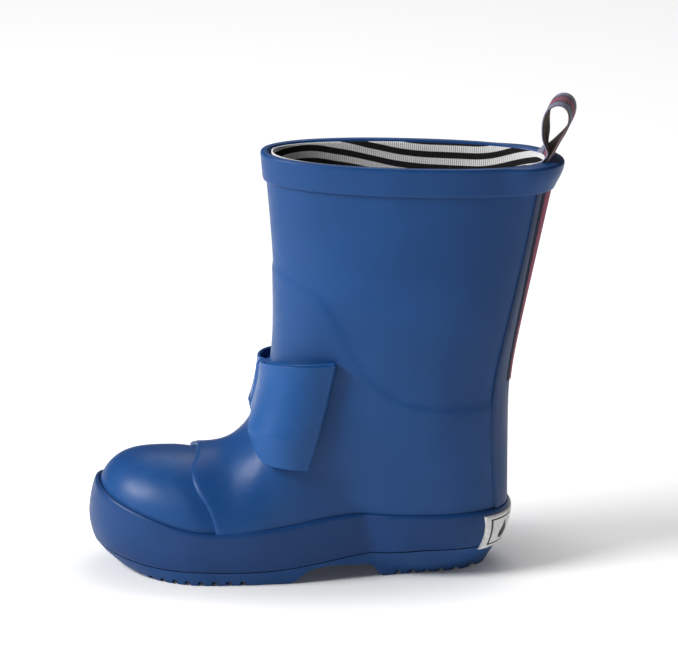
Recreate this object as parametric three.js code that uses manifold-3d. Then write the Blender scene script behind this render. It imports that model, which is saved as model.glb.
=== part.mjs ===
// A child's rubber rain boot for the left foot: a rubber upper on a treaded sole, with a knit
// lining, a bow on the instep and a ribbon pull loop at the back of the mouth.
//
// Frame: millimetres, +X toward the toe, +Y toward the wearer's left (outer) side, +Z up.
// While the pieces are made, X = 0 is the back of the heel. The whole group is then moved so
// that its origin is the bottom centre of its bounding box.
//
// The outer surface of the rubber upper is one smooth body: a leg whose sections are level
// superellipses, joined by a fillet to a foot whose sections stand across the X axis. Nearly
// every piece is a layer between two offsets of that body, cut to its own outline.
import * as THREE from 'three';
import { mergeGeometries, mergeVertices } from 'three/addons/utils/BufferGeometryUtils.js';
import Module from 'manifold-3d';

const wasm = await Module();
wasm.setup();

// ---------------------------------------------------------------- driving dimensions

const GAP = 0.3; // clearance between touching pieces
const BOOT_LENGTH = 169.2; // back of the heel to the nose of the toe, without the band
const NOSE_HEIGHT = 19; // height of the foremost point of the toe
const TOE_START = 118; // X where the foot starts to narrow into the toe
const BALL_HALF_WIDTH = 32.5;
const FOOT_START = 60; // X behind which the foot closes inside the leg
const RIM_FRONT = { x: 100, z: 173.4 };
const RIM_BACK = { x: -17, z: 169.6 };
const COLLAR_HEIGHT = 11.4;
const FILLET = 14; // how widely the leg and the foot blend at the instep

const RUBBER = 1.6; // wall of the upper
const OVERLAY = 1.1; // collar, back strip
const LINING_OUT = -2.9; // offsets of the lining from the outer surface
const LINING_IN = -4.0;
const BAND_OUT = 2.0; // outer face of the foxing band

const RIBBON_WIDTH = 21;
const RIBBON_THICKNESS = 1.0;
const LOOP_TOP = { x: -21.4, z: 193.6 };
const HINGE_X = -14.9; // where the pull loop leaves the rim

// ---------------------------------------------------------------- the boot's body

const clamp01 = (t) => Math.min(1, Math.max(0, t));
const smoothStep = (from, to, t) => {
  const s = clamp01((t - from) / (to - from));
  return s * s * (3 - 2 * s);
};
// Zero before `start`, then a straight rise, with a rounded corner between the two.
const softRamp = (t, start, width) => width * Math.log1p(Math.exp((t - start) / width));

// Leg: where its level section at height z begins, ends, and how wide it is.
const heelUndercut = (z) => 13.5 * clamp01((26 - z) / 26) ** 2;
const legBack = (z) => 1.7 - 0.215 * softRamp(z, 80.5, 6) + heelUndercut(z);
const legFront = (z) => 95.4 + 0.085 * softRamp(z, 128, 6) - 30 * (1 - smoothStep(15, 62, z));
const legHalfWidth = (z) => 28 - 2.9 * smoothStep(90, 172, z) - 1.2 * (1 - smoothStep(10, 60, z))
  - 0.35 * heelUndercut(z) - 9 * clamp01((13 - z) / 13) ** 1.5;

// Foot: its half width, the height of its ridge, which climbs the instep toward the leg, the
// exponent of its cross-section, and how far it bends toward the big toe.
const footHalfWidth = (x) => BALL_HALF_WIDTH - 17 * (1 - smoothStep(20, 112, x));
const footRidge = (x) => {
  const rise = 22.5 * Math.exp(Math.min(103.4 - x, 60) / 6.6);
  return 48.2 - 0.6 * (1 - smoothStep(95, 140, x)) + rise / (1 + rise / 60);
};
const footPower = (x) => 2.6 - 0.65 * smoothStep(75, 100, x) + 0.25 * smoothStep(112, 132, x);
const noseUndercut = (z) => 2.6 * (Math.max(0, NOSE_HEIGHT - 1 - z) / 7.5) ** 1.9;
const footCentre = (x) => 1.0 * smoothStep(60, 110, x) - 5.5 * smoothStep(115, 172, x);

function superellipseDistance(x, y, halfLength, halfWidth, power) {
  const u = Math.abs(x) / halfLength;
  const v = Math.abs(y) / halfWidth;
  const r = (u ** power + v ** power) ** (1 / power) + 1e-9;
  const slope = Math.hypot((u / r) ** (power - 1) / halfLength, (v / r) ** (power - 1) / halfWidth);
  return (r - 1) / slope;
}

function legDistance(x, y, z) {
  const back = legBack(z);
  const front = legFront(z);
  const power = 2.45 - 0.2 * smoothStep(60, 150, z);
  return superellipseDistance(x - (back + front) / 2, y, (front - back) / 2, legHalfWidth(z), power);
}

function footDistance(x, y, z) {
  const above = z > NOSE_HEIGHT;
  const halfWidth = footHalfWidth(x);
  const height = above ? footRidge(x) - NOSE_HEIGHT : 42;
  const u = Math.abs(y - footCentre(x)) / halfWidth;
  const v = Math.abs(z - NOSE_HEIGHT) / height;
  const power = footPower(x);
  const across = (u ** power + v ** power) ** (1 / power);
  const noseStart = BOOT_LENGTH - noseUndercut(z);
  const forward = clamp01((x - TOE_START) / (noseStart - TOE_START)) + Math.max(0, x - noseStart) / 50;
  const backward = Math.max(0, FOOT_START - x) / (FOOT_START - 8);
  const along = Math.max(forward, backward);
  const upward = v * v / (u * u + v * v + 1e-9);
  const fullness = above ? 2.6 + 3.4 * upward : 2.6;
  return ((across ** 2 + along ** fullness) ** 0.5 - 1) * 30;
}

function bodyDistance(x, y, z) {
  const leg = legDistance(x, y, z);
  const foot = footDistance(x, y, z);
  const reach = FILLET * (0.4 + 0.6 * smoothStep(25, 60, z));
  const overlap = Math.max(reach - Math.abs(leg - foot), 0) / reach;
  return Math.min(leg, foot) - overlap ** 3 * reach / 6;
}

function bodyNormal(p) {
  const e = 0.05;
  return new THREE.Vector3(
    bodyDistance(p.x + e, p.y, p.z) - bodyDistance(p.x - e, p.y, p.z),
    bodyDistance(p.x, p.y + e, p.z) - bodyDistance(p.x, p.y - e, p.z),
    bodyDistance(p.x, p.y, p.z + e) - bodyDistance(p.x, p.y, p.z - e),
  ).normalize();
}

// The point where the ray from `from` along `direction` leaves the body.
function surfacePoint(from, direction) {
  let inside = 0;
  let outside = 150;
  for (let i = 0; i < 36; i += 1) {
    const middle = (inside + outside) / 2;
    const p = from.clone().addScaledVector(direction, middle);
    if (bodyDistance(p.x, p.y, p.z) < 0) inside = middle;
    else outside = middle;
  }
  return from.clone().addScaledVector(direction, (inside + outside) / 2);
}

// Sections from above the mouth to the toe: level ones down the leg, then a fan of sections that
// turns about a line in front of the instep, then upright ones along the foot. Each has a centre
// and two directions in its plane: toward the front or top of the boot, and toward +Y.
const FAN = new THREE.Vector3(TOE_START, 0, 94);

function bodySections() {
  const sections = [];
  for (const z of [188, 172, 158, 142, 126, 110]) {
    const centre = new THREE.Vector3((legBack(z) + legFront(z)) / 2, 0, z);
    sections.push({ centre, front: new THREE.Vector3(1, 0, 0), long: 50, wide: 27 });
  }
  for (const degrees of [0, 9, 17, 23, 27, 30, 33, 37, 44, 53, 62, 71, 80]) {
    const turn = THREE.MathUtils.degToRad(degrees);
    const outward = new THREE.Vector3(-Math.cos(turn), 0, -Math.sin(turn));
    const centre = FAN.clone().addScaledVector(outward, 72);
    sections.push({ centre, front: outward.clone().negate(), long: 50, wide: 28 });
  }
  for (const x of [118, 129, 139, 147, 154, 160, 164.5, 167.5]) {
    const centre = new THREE.Vector3(x, footCentre(x), NOSE_HEIGHT + 2);
    sections.push({ centre, front: new THREE.Vector3(0, 0, 1), long: 28, wide: 32 });
  }
  return sections;
}

const AROUND = 24; // points around each section
const sections = bodySections().map(({ centre, front, long, wide }) => {
  const ring = [];
  for (let i = 0; i < AROUND; i += 1) {
    const angle = (2 * Math.PI * i) / AROUND;
    const direction = front.clone().multiplyScalar(long * Math.cos(angle));
    direction.y += wide * Math.sin(angle);
    const point = surfacePoint(centre, direction.normalize());
    point.z = Math.max(point.z, -14);
    ring.push({ point, normal: bodyNormal(point) });
  }
  return ring;
});

// ---------------------------------------------------------------- solids

// A solid for cutting and joining from a closed indexed mesh.
function solidFrom(geometry) {
  const bare = geometry.clone();
  bare.deleteAttribute('normal');
  bare.deleteAttribute('uv');
  const merged = mergeVertices(bare, 1e-4);
  return new wasm.Manifold(new wasm.Mesh({
    numProp: 3,
    vertProperties: new Float32Array(merged.attributes.position.array),
    triVerts: new Uint32Array(merged.index.array),
  }));
}

function geometryFrom(points, triangles) {
  const geometry = new THREE.BufferGeometry();
  geometry.setAttribute('position', new THREE.Float32BufferAttribute(points.flatMap((p) => [p.x, p.y, p.z]), 3));
  geometry.setIndex(triangles);
  return geometry;
}

// The body grown or shrunk along its normals. `offset` is a number or a function of the point.
function bodySolid(offset) {
  const distance = typeof offset === 'function' ? offset : () => offset;
  const points = [];
  for (const ring of sections) {
    for (const { point, normal } of ring) {
      points.push(point.clone().addScaledVector(normal, distance(point)));
    }
  }
  const top = points.length;
  points.push(points.slice(0, AROUND).reduce((sum, p) => sum.add(p), new THREE.Vector3()).divideScalar(AROUND));
  const nose = points.length;
  const tip = surfacePoint(new THREE.Vector3(150, footCentre(169), NOSE_HEIGHT + 1), new THREE.Vector3(1, 0, 0));
  points.push(tip.add(new THREE.Vector3(distance(tip), 0, 0)));
  const triangles = [];
  const last = (sections.length - 1) * AROUND;
  for (let i = 0; i < AROUND; i += 1) {
    const j = (i + 1) % AROUND;
    triangles.push(top, i, j, nose, last + j, last + i);
    for (let row = 0; row < last; row += AROUND) {
      triangles.push(row + i, row + AROUND + i, row + j, row + j, row + AROUND + i, row + AROUND + j);
    }
  }
  return solidFrom(geometryFrom(points, triangles));
}

const offsetBodies = new Map();
function body(offset) {
  if (!offsetBodies.has(offset)) offsetBodies.set(offset, bodySolid(offset));
  return offsetBodies.get(offset);
}
const layer = (outer, inner) => body(outer).subtract(body(inner));

// A prism across the boot whose side view is the outline [[x, z], ...].
function sidePrism(outline, halfWidth = 60) {
  const shape = new THREE.Shape(outline.map(([x, z]) => new THREE.Vector2(x, z)));
  const geometry = new THREE.ExtrudeGeometry(shape, { depth: 2 * halfWidth, bevelEnabled: false });
  geometry.rotateX(Math.PI / 2).translate(0, halfWidth, 0);
  return solidFrom(geometry);
}

// A prism along the boot, from x = from to x = to, whose rear view is the outline [[y, z], ...].
function rearPrism(outline, from, to) {
  const shape = new THREE.Shape(outline.map(([y, z]) => new THREE.Vector2(y, z)));
  const geometry = new THREE.ExtrudeGeometry(shape, { depth: to - from, bevelEnabled: false });
  geometry.rotateX(Math.PI / 2).rotateZ(Math.PI / 2).translate(from, 0, 0);
  return solidFrom(geometry);
}

function smoothLine(knots, pieces = 24) {
  const curve = new THREE.SplineCurve(knots.map(([x, z]) => new THREE.Vector2(x, z)));
  return curve.getPoints(pieces).map((p) => [p.x, p.y]);
}

// Everything between two side-view lines that both run from heel to toe.
const between = (lower, upper) => sidePrism([...lower, ...[...upper].reverse()]);
const raised = (line, height) => line.map(([x, z]) => [x, z + height]);

// ---------------------------------------------------------------- lines seen from the side

const RIM_SLOPE = (RIM_FRONT.z - RIM_BACK.z) / (RIM_FRONT.x - RIM_BACK.x);
const rimHeight = (x) => RIM_BACK.z + (x - RIM_BACK.x) * RIM_SLOPE;
const levelLine = (drop) => [[-60, rimHeight(-60) - drop], [220, rimHeight(220) - drop]];
const farBelow = [[-60, -30], [220, -30]];

const bandTop = smoothLine([
  [-30, 27.6], [40, 27.7], [72, 27.2], [95, 24.3], [120, 22.5], [133, 23.8], [150, 28.8], [163, 33.6], [169, 36.6],
  [190, 43],
]);
const soleTop = smoothLine([
  [-30, 13], [30, 13], [60, 10.5], [95, 6.6], [130, 6.4], [155, 8.8], [172, 14], [190, 21],
], 20);
const legEdge = smoothLine([
  [120, 128], [96, 126], [85, 121], [75, 114.5], [69, 103], [64, 93], [52, 79], [38, 73], [10, 71], [-30, 71],
], 22);
const toeEdge = smoothLine([
  [124, 70], [126.8, 48.5], [129.4, 44.5], [127.7, 39], [123, 32.3], [120, 24], [119, 0],
], 14);

// ---------------------------------------------------------------- the pieces

const group = new THREE.Group();

function addPiece(name, solid, look, parent = group) {
  const { numProp, vertProperties, triVerts } = solid.getMesh();
  const geometry = new THREE.BufferGeometry();
  const positions = [];
  for (let i = 0; i < vertProperties.length; i += numProp) {
    positions.push(vertProperties[i], vertProperties[i + 1], vertProperties[i + 2]);
  }
  geometry.setAttribute('position', new THREE.Float32BufferAttribute(positions, 3));
  geometry.setIndex([...triVerts]);
  geometry.computeVertexNormals();
  const mesh = new THREE.Mesh(geometry, new THREE.MeshStandardMaterial(look));
  mesh.name = name;
  parent.add(mesh);
  return mesh;
}

const BLUE_RUBBER = { color: 0x294a7c, roughness: 0.38, metalness: 0 };
const TREAD_RUBBER = { color: 0x1d3558, roughness: 0.55, metalness: 0 };
const KNIT = { color: 0xd9d9dc, roughness: 0.95, metalness: 0 };
const BOARD = { color: 0xb79f7c, roughness: 0.9, metalness: 0 };
const FOAM = { color: 0xdfe3e8, roughness: 0.9, metalness: 0 };
const STIFFENER = { color: 0x8b8577, roughness: 0.85, metalness: 0 };
const RIBBON = { color: 0x6b6f7a, roughness: 0.85, metalness: 0 };
const RED_RIBBON = { color: 0x9c3f5c, roughness: 0.8, metalness: 0 };
const LABEL = { color: 0xe9e9e6, roughness: 0.45, metalness: 0 };

// The three parts of the rubber wall: leg, vamp with its quarters, and toe.
function upperPieces() {
  const wall = layer(0, -RUBBER).intersect(between(raised(soleTop, GAP), levelLine(1.7)));
  const legArea = [...legEdge, [-60, 71], [-60, 220], [220, 220], [220, 128]];
  const legPrism = sidePrism(legArea);
  const toeFront = toeEdge.map(([x, z]) => [x + GAP, z]);
  const toePrism = sidePrism([...toeFront, [119, -30], [230, -30], [230, 70]]);
  const footPrism = sidePrism([...raised(legEdge, -GAP), [-60, 71 - GAP], [-60, -30], [119 - GAP, -30],
    ...[...toeEdge].reverse().map(([x, z]) => [x - GAP / 2, z]), [124, 128 - GAP]]);
  addPiece('leg_shaft', wall.intersect(legPrism), BLUE_RUBBER);
  addPiece('vamp', wall.intersect(footPrism), BLUE_RUBBER);
  addPiece('toe_cap', wall.intersect(toePrism), BLUE_RUBBER);
}

// The collar is thicker over the ribbon at the back.
const ribbonBulge = (p) => (1.3 + 1.9 * smoothStep(157, 167, p.z)) * smoothStep(6, -8, p.x);
const collarOuter = (p) => GAP + OVERLAY + ribbonBulge(p);
const collarInner = (p) => GAP + ribbonBulge(p);

function collarBand() {
  const skirt = layer(collarOuter, collarInner).intersect(between(levelLine(COLLAR_HEIGHT), levelLine(0)));
  const roll = layer(collarOuter, -RUBBER).intersect(between(levelLine(1.4), levelLine(0)));
  addPiece('collar_band', skirt.add(roll), BLUE_RUBBER);
}

function foxingBand() {
  const band = layer(BAND_OUT, GAP).intersect(between(raised(soleTop, GAP), bandTop));
  addPiece('foxing_band', band, BLUE_RUBBER);
}

// Strip up the back of the boot, wider toward the heel, and the red ribbon sewn up its middle.
const backHalfWidth = (z) => 12 + 5.6 * (1 - smoothStep(55, 150, z));
function backStrip() {
  const heights = [20, 55, 68, 80, 92, 104, 116, 130, 158];
  const left = heights.map((z) => [-backHalfWidth(z), z]);
  const right = heights.map((z) => [backHalfWidth(z), z]).reverse();
  const height = between(raised(bandTop, GAP), levelLine(COLLAR_HEIGHT + GAP));
  const strip = layer(GAP + OVERLAY, GAP).intersect(height).intersect(rearPrism([...left, ...right], -60, 40));
  addPiece('back_strip', strip, BLUE_RUBBER);
  const outer = GAP + OVERLAY + GAP;
  const half = 9.8;
  const middle = rearPrism([[-half, 80], [half, 80], [half, 156.5], [-half, 156.5]], -60, 40);
  addPiece('back_ribbon', layer(outer + 0.6, outer).intersect(middle), RED_RIBBON);
}

function heelLabel() {
  const plate = rearPrism([[-20.5, 12], [20.5, 12], [22, 25.6], [-22, 25.6]], -60, 22);
  addPiece('heel_label', layer(BAND_OUT + GAP + 0.8, BAND_OUT + GAP).intersect(plate), LABEL);
}

// Stiffeners between the rubber and the lining.
function stiffeners() {
  const stiffener = layer(-RUBBER - GAP, -RUBBER - GAP - 0.7);
  const counter = sidePrism([[-60, 20], [62, 20], [56, 34], [42, 48], [20, 56], [-60, 58]]);
  addPiece('heel_counter', stiffener.intersect(counter), STIFFENER);
  const puff = sidePrism([[136, 20], [138, 36], [134, 60], [230, 60], [230, 20]]);
  addPiece('toe_puff', stiffener.intersect(puff), STIFFENER);
}

// Lining sock, and the layers under the foot from the sole up.
function insidePieces() {
  const lining = body(LINING_OUT).intersect(between(raised(soleTop, 4.5), levelLine(0.6)));
  const room = body(LINING_IN).intersect(between(raised(soleTop, 5.6), levelLine(-20)));
  addPiece('lining_sock', lining.subtract(room), KNIT);
  const inner = body(-RUBBER - GAP);
  addPiece('midsole_filler', inner.intersect(between(raised(soleTop, GAP), raised(soleTop, 2.3))), FOAM);
  addPiece('insole_board', inner.intersect(between(raised(soleTop, 2.6), raised(soleTop, 4.2))), BOARD);
  const bed = between(raised(soleTop, 5.9), raised(soleTop, 9.4));
  addPiece('footbed', body(LINING_IN - 0.5).intersect(bed), FOAM);
}

// Sole: a slab with a heel block, a raised waist and slanting tread bars on both sides of a
// plain central rib.
function outsole() {
  const ground = [
    [-30, 0], [52, 0], [57, 5.6], [82, 5.2], [90, 0], [148, 0], [156, 1.4], [163, 4.2], [168, 7], [173, 10.5],
    [190, 17],
  ];
  const slab = body(BAND_OUT).intersect(between(ground, soleTop));
  const grooves = [];
  const addGrooves = (from, count, pitch, ribHalfWidth) => {
    for (let i = 0; i < count; i += 1) {
      for (const side of [-1, 1]) {
        const groove = new THREE.BoxGeometry(2.1, 60, 2 * 2.4);
        groove.translate(0, side * (30 + ribHalfWidth), 0);
        groove.rotateZ(-side * 0.32);
        groove.translate(from + i * pitch, 0, groundHeight(from + i * pitch));
        grooves.push(solidFrom(groove));
      }
    }
  };
  addGrooves(11.8, 6, 5.5, 5.5);
  addGrooves(98.3, 11, 5.7, 7.5);
  const tread = grooves.reduce((all, groove) => all.add(groove));
  addPiece('outsole', slab.subtract(tread), TREAD_RUBBER);
}
const groundHeight = (x) => 0.018 * Math.max(0, x - 148) ** 2;

// ---------------------------------------------------------------- bow

const BOW_AXIS = 58; // X of the upright line that the bow's points are measured from
const BOW_SHEET = 1.5;

// A point on the boot under the bow wing: `out` runs 0 at the knot to 1 at the outer fold,
// `up` runs 0 at the lower edge to 1 at the upper edge.
function bowPoint(out, up, side) {
  const bottom = THREE.MathUtils.lerp(67, 48.3, smoothStep(0.26, 0.74, out));
  const top = THREE.MathUtils.lerp(85, side > 0 ? 91.5 : 79.5, out ** 0.7);
  const turn = THREE.MathUtils.lerp(0.1, THREE.MathUtils.lerp(0.95, 1.18, up), out);
  const level = new THREE.Vector3(Math.cos(turn) * 44, side * Math.sin(turn) * 34, 0);
  const height = THREE.MathUtils.lerp(bottom, top, up);
  const hang = Math.max(0, 60 - height); // below the instep's crest the wing hangs straight down
  const point = surfacePoint(new THREE.Vector3(BOW_AXIS, 0, height + hang), level.normalize());
  const normal = bodyNormal(point);
  point.z -= hang;
  return { point, normal };
}

// How far the front sheet of the wing stands off the boot: it puffs out between the knot and
// the fold, and lies flatter toward its lower edge at the knot.
function frontStandOff(out, up) {
  const puff = Math.sin(Math.PI * Math.min(1, out * 1.03) ** 0.95);
  const lift = THREE.MathUtils.lerp(0.3 + 0.7 * up, 1, out);
  return 1.2 + (1.8 + 0.8 * out + 4.6 * Math.max(0, puff)) * lift;
}

// One wing: a rubber sheet folded into a flat loop, open at its top and bottom edges.
function bowWing(name, side) {
  const steps = 8;
  const rows = 4;
  const outs = Array.from({ length: steps + 1 }, (_, i) => i / steps);
  const inward = (out) => THREE.MathUtils.clamp(out, 0.05, 0.955);
  const back = (out, inset) => ({ out, offset: () => 0.6 + inset });
  const front = (out, inset) => ({ out, offset: (up) => frontStandOff(out, up) + BOW_SHEET - inset });
  // The loop's outside runs along the back sheet to the fold and home along the front sheet;
  // its inside follows in the same order, one sheet thickness in.
  const outside = [...outs.map((out) => back(out, 0)), back(1.03, 1.6),
    ...outs.toReversed().map((out) => front(out, 0))];
  const inside = [...outs.map((out) => back(inward(out), BOW_SHEET)), back(0.975, 2),
    ...outs.toReversed().map((out) => front(inward(out), BOW_SHEET))];
  const points = [];
  for (let row = 0; row <= rows; row += 1) {
    const up = row / rows;
    for (const { out, offset } of [...outside, ...inside]) {
      const { point, normal } = bowPoint(out, up, side);
      points.push(point.addScaledVector(normal, offset(up)));
    }
  }
  const triangles = [];
  const quad = (a, b, c, d) => {
    if (side > 0) triangles.push(a, b, c, a, c, d);
    else triangles.push(a, c, b, a, d, c);
  };
  const count = outside.length;
  const width = 2 * count;
  const top = rows * width;
  for (let k = 0; k < count; k += 1) {
    const next = (k + 1) % count;
    for (let here = 0; here < top; here += width) {
      const above = here + width;
      quad(here + next, here + k, above + k, above + next);
      quad(here + count + k, here + count + next, above + count + next, above + count + k);
    }
    quad(k, next, count + next, count + k);
    quad(top + next, top + k, top + count + k, top + count + next);
  }
  const wing = solidFrom(geometryFrom(points, triangles)).subtract(body(GAP)).subtract(knotPrism(GAP));
  addPiece(name, wing, BLUE_RUBBER);
}

// The band around the middle of the bow.
function bowKnot() {
  const standOff = (p) => 3.2 + 2.0 * smoothStep(64, 84, p.z);
  addPiece('bow_knot', layer(standOff, 0.5).intersect(knotPrism(0)), BLUE_RUBBER);
}

function knotPrism(clearance) {
  const side = 3.9 + clearance;
  return rearPrism([[-side, 64], [side, 64], [side, 85.5], [-side, 85.5]], 70, 140);
}

// ---------------------------------------------------------------- pull loop

// The ribbon stands as a teardrop loop above the rim; its two tails are held in the collar.
function pullLoop() {
  const base = new THREE.Vector2(HINGE_X, rimHeight(HINGE_X) + 0.6);
  const top = new THREE.Vector2(LOOP_TOP.x, LOOP_TOP.z);
  const lean = top.clone().sub(base);
  const length = lean.length();
  const along = lean.clone().normalize();
  const sideways = new THREE.Vector2(along.y, -along.x);
  const outline = (inset) => {
    const line = [];
    for (let i = 0; i <= 28; i += 1) {
      const t = (2 * Math.PI * i) / 28;
      const height = inset + (length - 2 * inset) * (0.5 - 0.5 * Math.cos(t));
      const width = (5.9 - inset) * Math.sin(t) * (0.5 - 0.5 * Math.cos(t)) ** 0.75 * 1.32;
      line.push(base.clone().addScaledVector(along, height).addScaledVector(sideways, width));
    }
    return line.slice(0, 28);
  };
  const shape = new THREE.Shape(outline(0));
  shape.holes.push(new THREE.Path(outline(RIBBON_THICKNESS)));
  const geometry = new THREE.ExtrudeGeometry(shape, { depth: RIBBON_WIDTH, bevelEnabled: false });
  geometry.rotateX(Math.PI / 2).translate(0, RIBBON_WIDTH / 2, 0);
  addPiece('pull_loop', solidFrom(geometry), RIBBON);
}

function ribbonTails() {
  const half = RIBBON_WIDTH / 2;
  const tail = (bottom) => rearPrism([[-half, bottom], [half, bottom], [half, 167], [-half, 167]], -60, 30);
  addPiece('ribbon_tail_outside', layer((p) => ribbonBulge(p) - 0.15, GAP).intersect(tail(159.5)), RIBBON);
  addPiece('ribbon_tail_inside', layer(-RUBBER - GAP, -RUBBER - GAP - 0.7).intersect(tail(140)), RIBBON);
}

upperPieces();
collarBand();
foxingBand();
backStrip();
heelLabel();
stiffeners();
insidePieces();
outsole();
bowWing('bow_wing_outer', 1);
bowWing('bow_wing_inner', -1);
bowKnot();
pullLoop();
ribbonTails();

// Origin at the bottom centre of the boot's bounding box.
const box = new THREE.Box3().setFromObject(group);
group.position.set(-(box.min.x + box.max.x) / 2, -(box.min.y + box.max.y) / 2, -box.min.z);

export default group;
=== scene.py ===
# The rain boot's looks: fine surfaces, materials, light and camera around the CAD frame.
# Shapes are worked out in millimetres in the boot's working frame (X = 0 at the back of the
# heel, Y = 0 on the middle line) and placed in the row frame, in metres, when a mesh is made.
import math

import bmesh
import bpy
import numpy as np
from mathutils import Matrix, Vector


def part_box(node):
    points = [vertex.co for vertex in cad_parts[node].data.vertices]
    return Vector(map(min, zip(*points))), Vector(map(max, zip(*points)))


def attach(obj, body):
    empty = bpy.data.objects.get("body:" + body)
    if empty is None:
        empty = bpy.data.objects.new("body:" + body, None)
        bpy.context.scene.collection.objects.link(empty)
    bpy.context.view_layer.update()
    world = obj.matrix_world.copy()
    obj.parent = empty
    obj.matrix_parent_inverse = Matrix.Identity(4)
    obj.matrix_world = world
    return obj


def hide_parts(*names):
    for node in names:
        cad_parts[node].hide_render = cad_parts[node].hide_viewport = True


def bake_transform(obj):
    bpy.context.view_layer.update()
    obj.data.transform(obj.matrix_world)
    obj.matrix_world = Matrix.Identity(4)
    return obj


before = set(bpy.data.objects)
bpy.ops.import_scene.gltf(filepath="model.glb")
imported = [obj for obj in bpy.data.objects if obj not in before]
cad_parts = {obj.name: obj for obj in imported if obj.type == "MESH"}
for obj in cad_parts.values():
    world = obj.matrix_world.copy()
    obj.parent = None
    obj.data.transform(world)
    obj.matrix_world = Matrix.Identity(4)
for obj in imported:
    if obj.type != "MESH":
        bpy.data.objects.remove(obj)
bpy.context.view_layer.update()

# The heel stiffener's front edge stands at X = 62 and the pull loop is centred on Y = 0.
SHIFT_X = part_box("heel_counter")[1].x * 1000 - 62
SHIFT_Y = (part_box("pull_loop")[0].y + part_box("pull_loop")[1].y) * 500

# ------------------------------------------------------------------ the boot's body

BOOT_LENGTH = 169.2
NOSE_HEIGHT = 19
TOE_START = 118
BALL_HALF_WIDTH = 32.5
FOOT_START = 60
FILLET = 14
RIM_FRONT = (100, 173.4)
RIM_BACK = (-17, 169.6)
RIM_SLOPE = (RIM_FRONT[1] - RIM_BACK[1]) / (RIM_FRONT[0] - RIM_BACK[0])
COLLAR_HEIGHT = 11.4
WALL = 1.6
BAND_OUT = 2.0
LINING_OUT = -2.9
LINING_IN = -4.0


def step(start, end, t):
    s = np.clip((t - start) / (end - start), 0, 1)
    return s * s * (3 - 2 * s)


def mix(a, b, t):
    return a + (b - a) * t


def soft_ramp(t, start, width):
    return width * np.logaddexp(0, (t - start) / width)


def heel_undercut(z):
    return 13.5 * np.clip((26 - z) / 26, 0, 1) ** 2


def leg_back(z):
    return 1.7 - 0.215 * soft_ramp(z, 80.5, 6) + heel_undercut(z)


def leg_front(z):
    return 95.4 + 0.085 * soft_ramp(z, 128, 6) - 30 * (1 - step(15, 62, z))


def leg_half_width(z):
    low = 0.35 * heel_undercut(z) + 9 * np.clip((13 - z) / 13, 0, 1) ** 1.5
    return 28 - 2.9 * step(90, 172, z) - 1.2 * (1 - step(10, 60, z)) - low


def foot_half_width(x):
    return BALL_HALF_WIDTH - 17 * (1 - step(20, 112, x))


def foot_ridge(x):
    rise = 22.5 * np.exp(np.clip(103.4 - x, -60, 60) / 6.6)
    return 48.2 - 0.6 * (1 - step(95, 140, x)) + rise / (1 + rise / 60)


def foot_centre(x):
    return step(60, 110, x) - 5.5 * step(115, 172, x)


def foot_power(x):
    """Exponent of the foot's cross-section: full at the ankle, roof-like over the instep."""
    return 2.6 - 0.65 * step(75, 100, x) + 0.25 * step(112, 132, x)


def nose_undercut(z):
    return 2.6 * (np.maximum(0, NOSE_HEIGHT - 1 - z) / 7.5) ** 1.9


def leg_distance(x, y, z):
    back, front, half_width = leg_back(z), leg_front(z), leg_half_width(z)
    power = 2.45 - 0.2 * step(60, 150, z)
    half_length = (front - back) / 2
    u = np.abs(x - (back + front) / 2) / half_length
    v = np.abs(y) / half_width
    r = (u**power + v**power) ** (1 / power) + 1e-9
    slope = np.hypot((u / r) ** (power - 1) / half_length, (v / r) ** (power - 1) / half_width)
    return (r - 1) / slope


def foot_distance(x, y, z):
    above = z > NOSE_HEIGHT
    height = np.where(above, foot_ridge(x) - NOSE_HEIGHT, 42)
    u = np.abs(y - foot_centre(x)) / foot_half_width(x)
    v = np.abs(z - NOSE_HEIGHT) / height
    power = foot_power(x)
    across = (u**power + v**power) ** (1 / power)
    nose = BOOT_LENGTH - nose_undercut(z)
    forward = np.clip((x - TOE_START) / (nose - TOE_START), 0, 1) + np.maximum(0, x - nose) / 50
    backward = np.maximum(0, FOOT_START - x) / (FOOT_START - 8)
    along = np.maximum(forward, backward)
    upward = v * v / (u * u + v * v + 1e-9)
    fullness = np.where(above, 2.6 + 3.4 * upward, 2.6)
    return (np.sqrt(across**2 + along**fullness) - 1) * 30


def body_distance(p):
    x, y, z = p[..., 0], p[..., 1], p[..., 2]
    leg, foot = leg_distance(x, y, z), foot_distance(x, y, z)
    reach = FILLET * (0.4 + 0.6 * step(25, 60, z))
    overlap = np.maximum(reach - np.abs(leg - foot), 0) / reach
    return np.minimum(leg, foot) - overlap**3 * reach / 6


def body_normal(p):
    e = 0.05
    out = np.empty(p.shape)
    for axis in range(3):
        d = np.zeros(3)
        d[axis] = e
        out[..., axis] = body_distance(p + d) - body_distance(p - d)
    return out / np.linalg.norm(out, axis=-1, keepdims=True)


def cast(start, direction, reach=150.0):
    """Where rays leave the body; start and direction are arrays of points."""
    direction = direction / np.linalg.norm(direction, axis=-1, keepdims=True)
    inside = np.zeros(direction.shape[:-1])
    outside = np.full(direction.shape[:-1], reach)
    for _ in range(34):
        middle = (inside + outside) / 2
        within = body_distance(start + direction * middle[..., None]) < 0
        inside = np.where(within, middle, inside)
        outside = np.where(within, outside, middle)
    return start + direction * ((inside + outside) / 2)[..., None]


def rim_height(x):
    return RIM_BACK[1] + (x - RIM_BACK[0]) * RIM_SLOPE


# Sections of the body. `u` runs 0 to 1 down the leg, 1 to 2 through a fan that turns about a
# line in front of the instep, and 2 to 3 along the foot to the nose; `angle` runs round each
# section from the front or top of the boot, toward +Y.
LEG_TOP = 180.0
FAN_X, FAN_Z, FAN_REACH = TOE_START, 94.0, 73.0
RIM_X = 42.0


def drop_to_u(drop):
    return (LEG_TOP - (rim_height(RIM_X) - drop)) / (LEG_TOP - FAN_Z)


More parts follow.
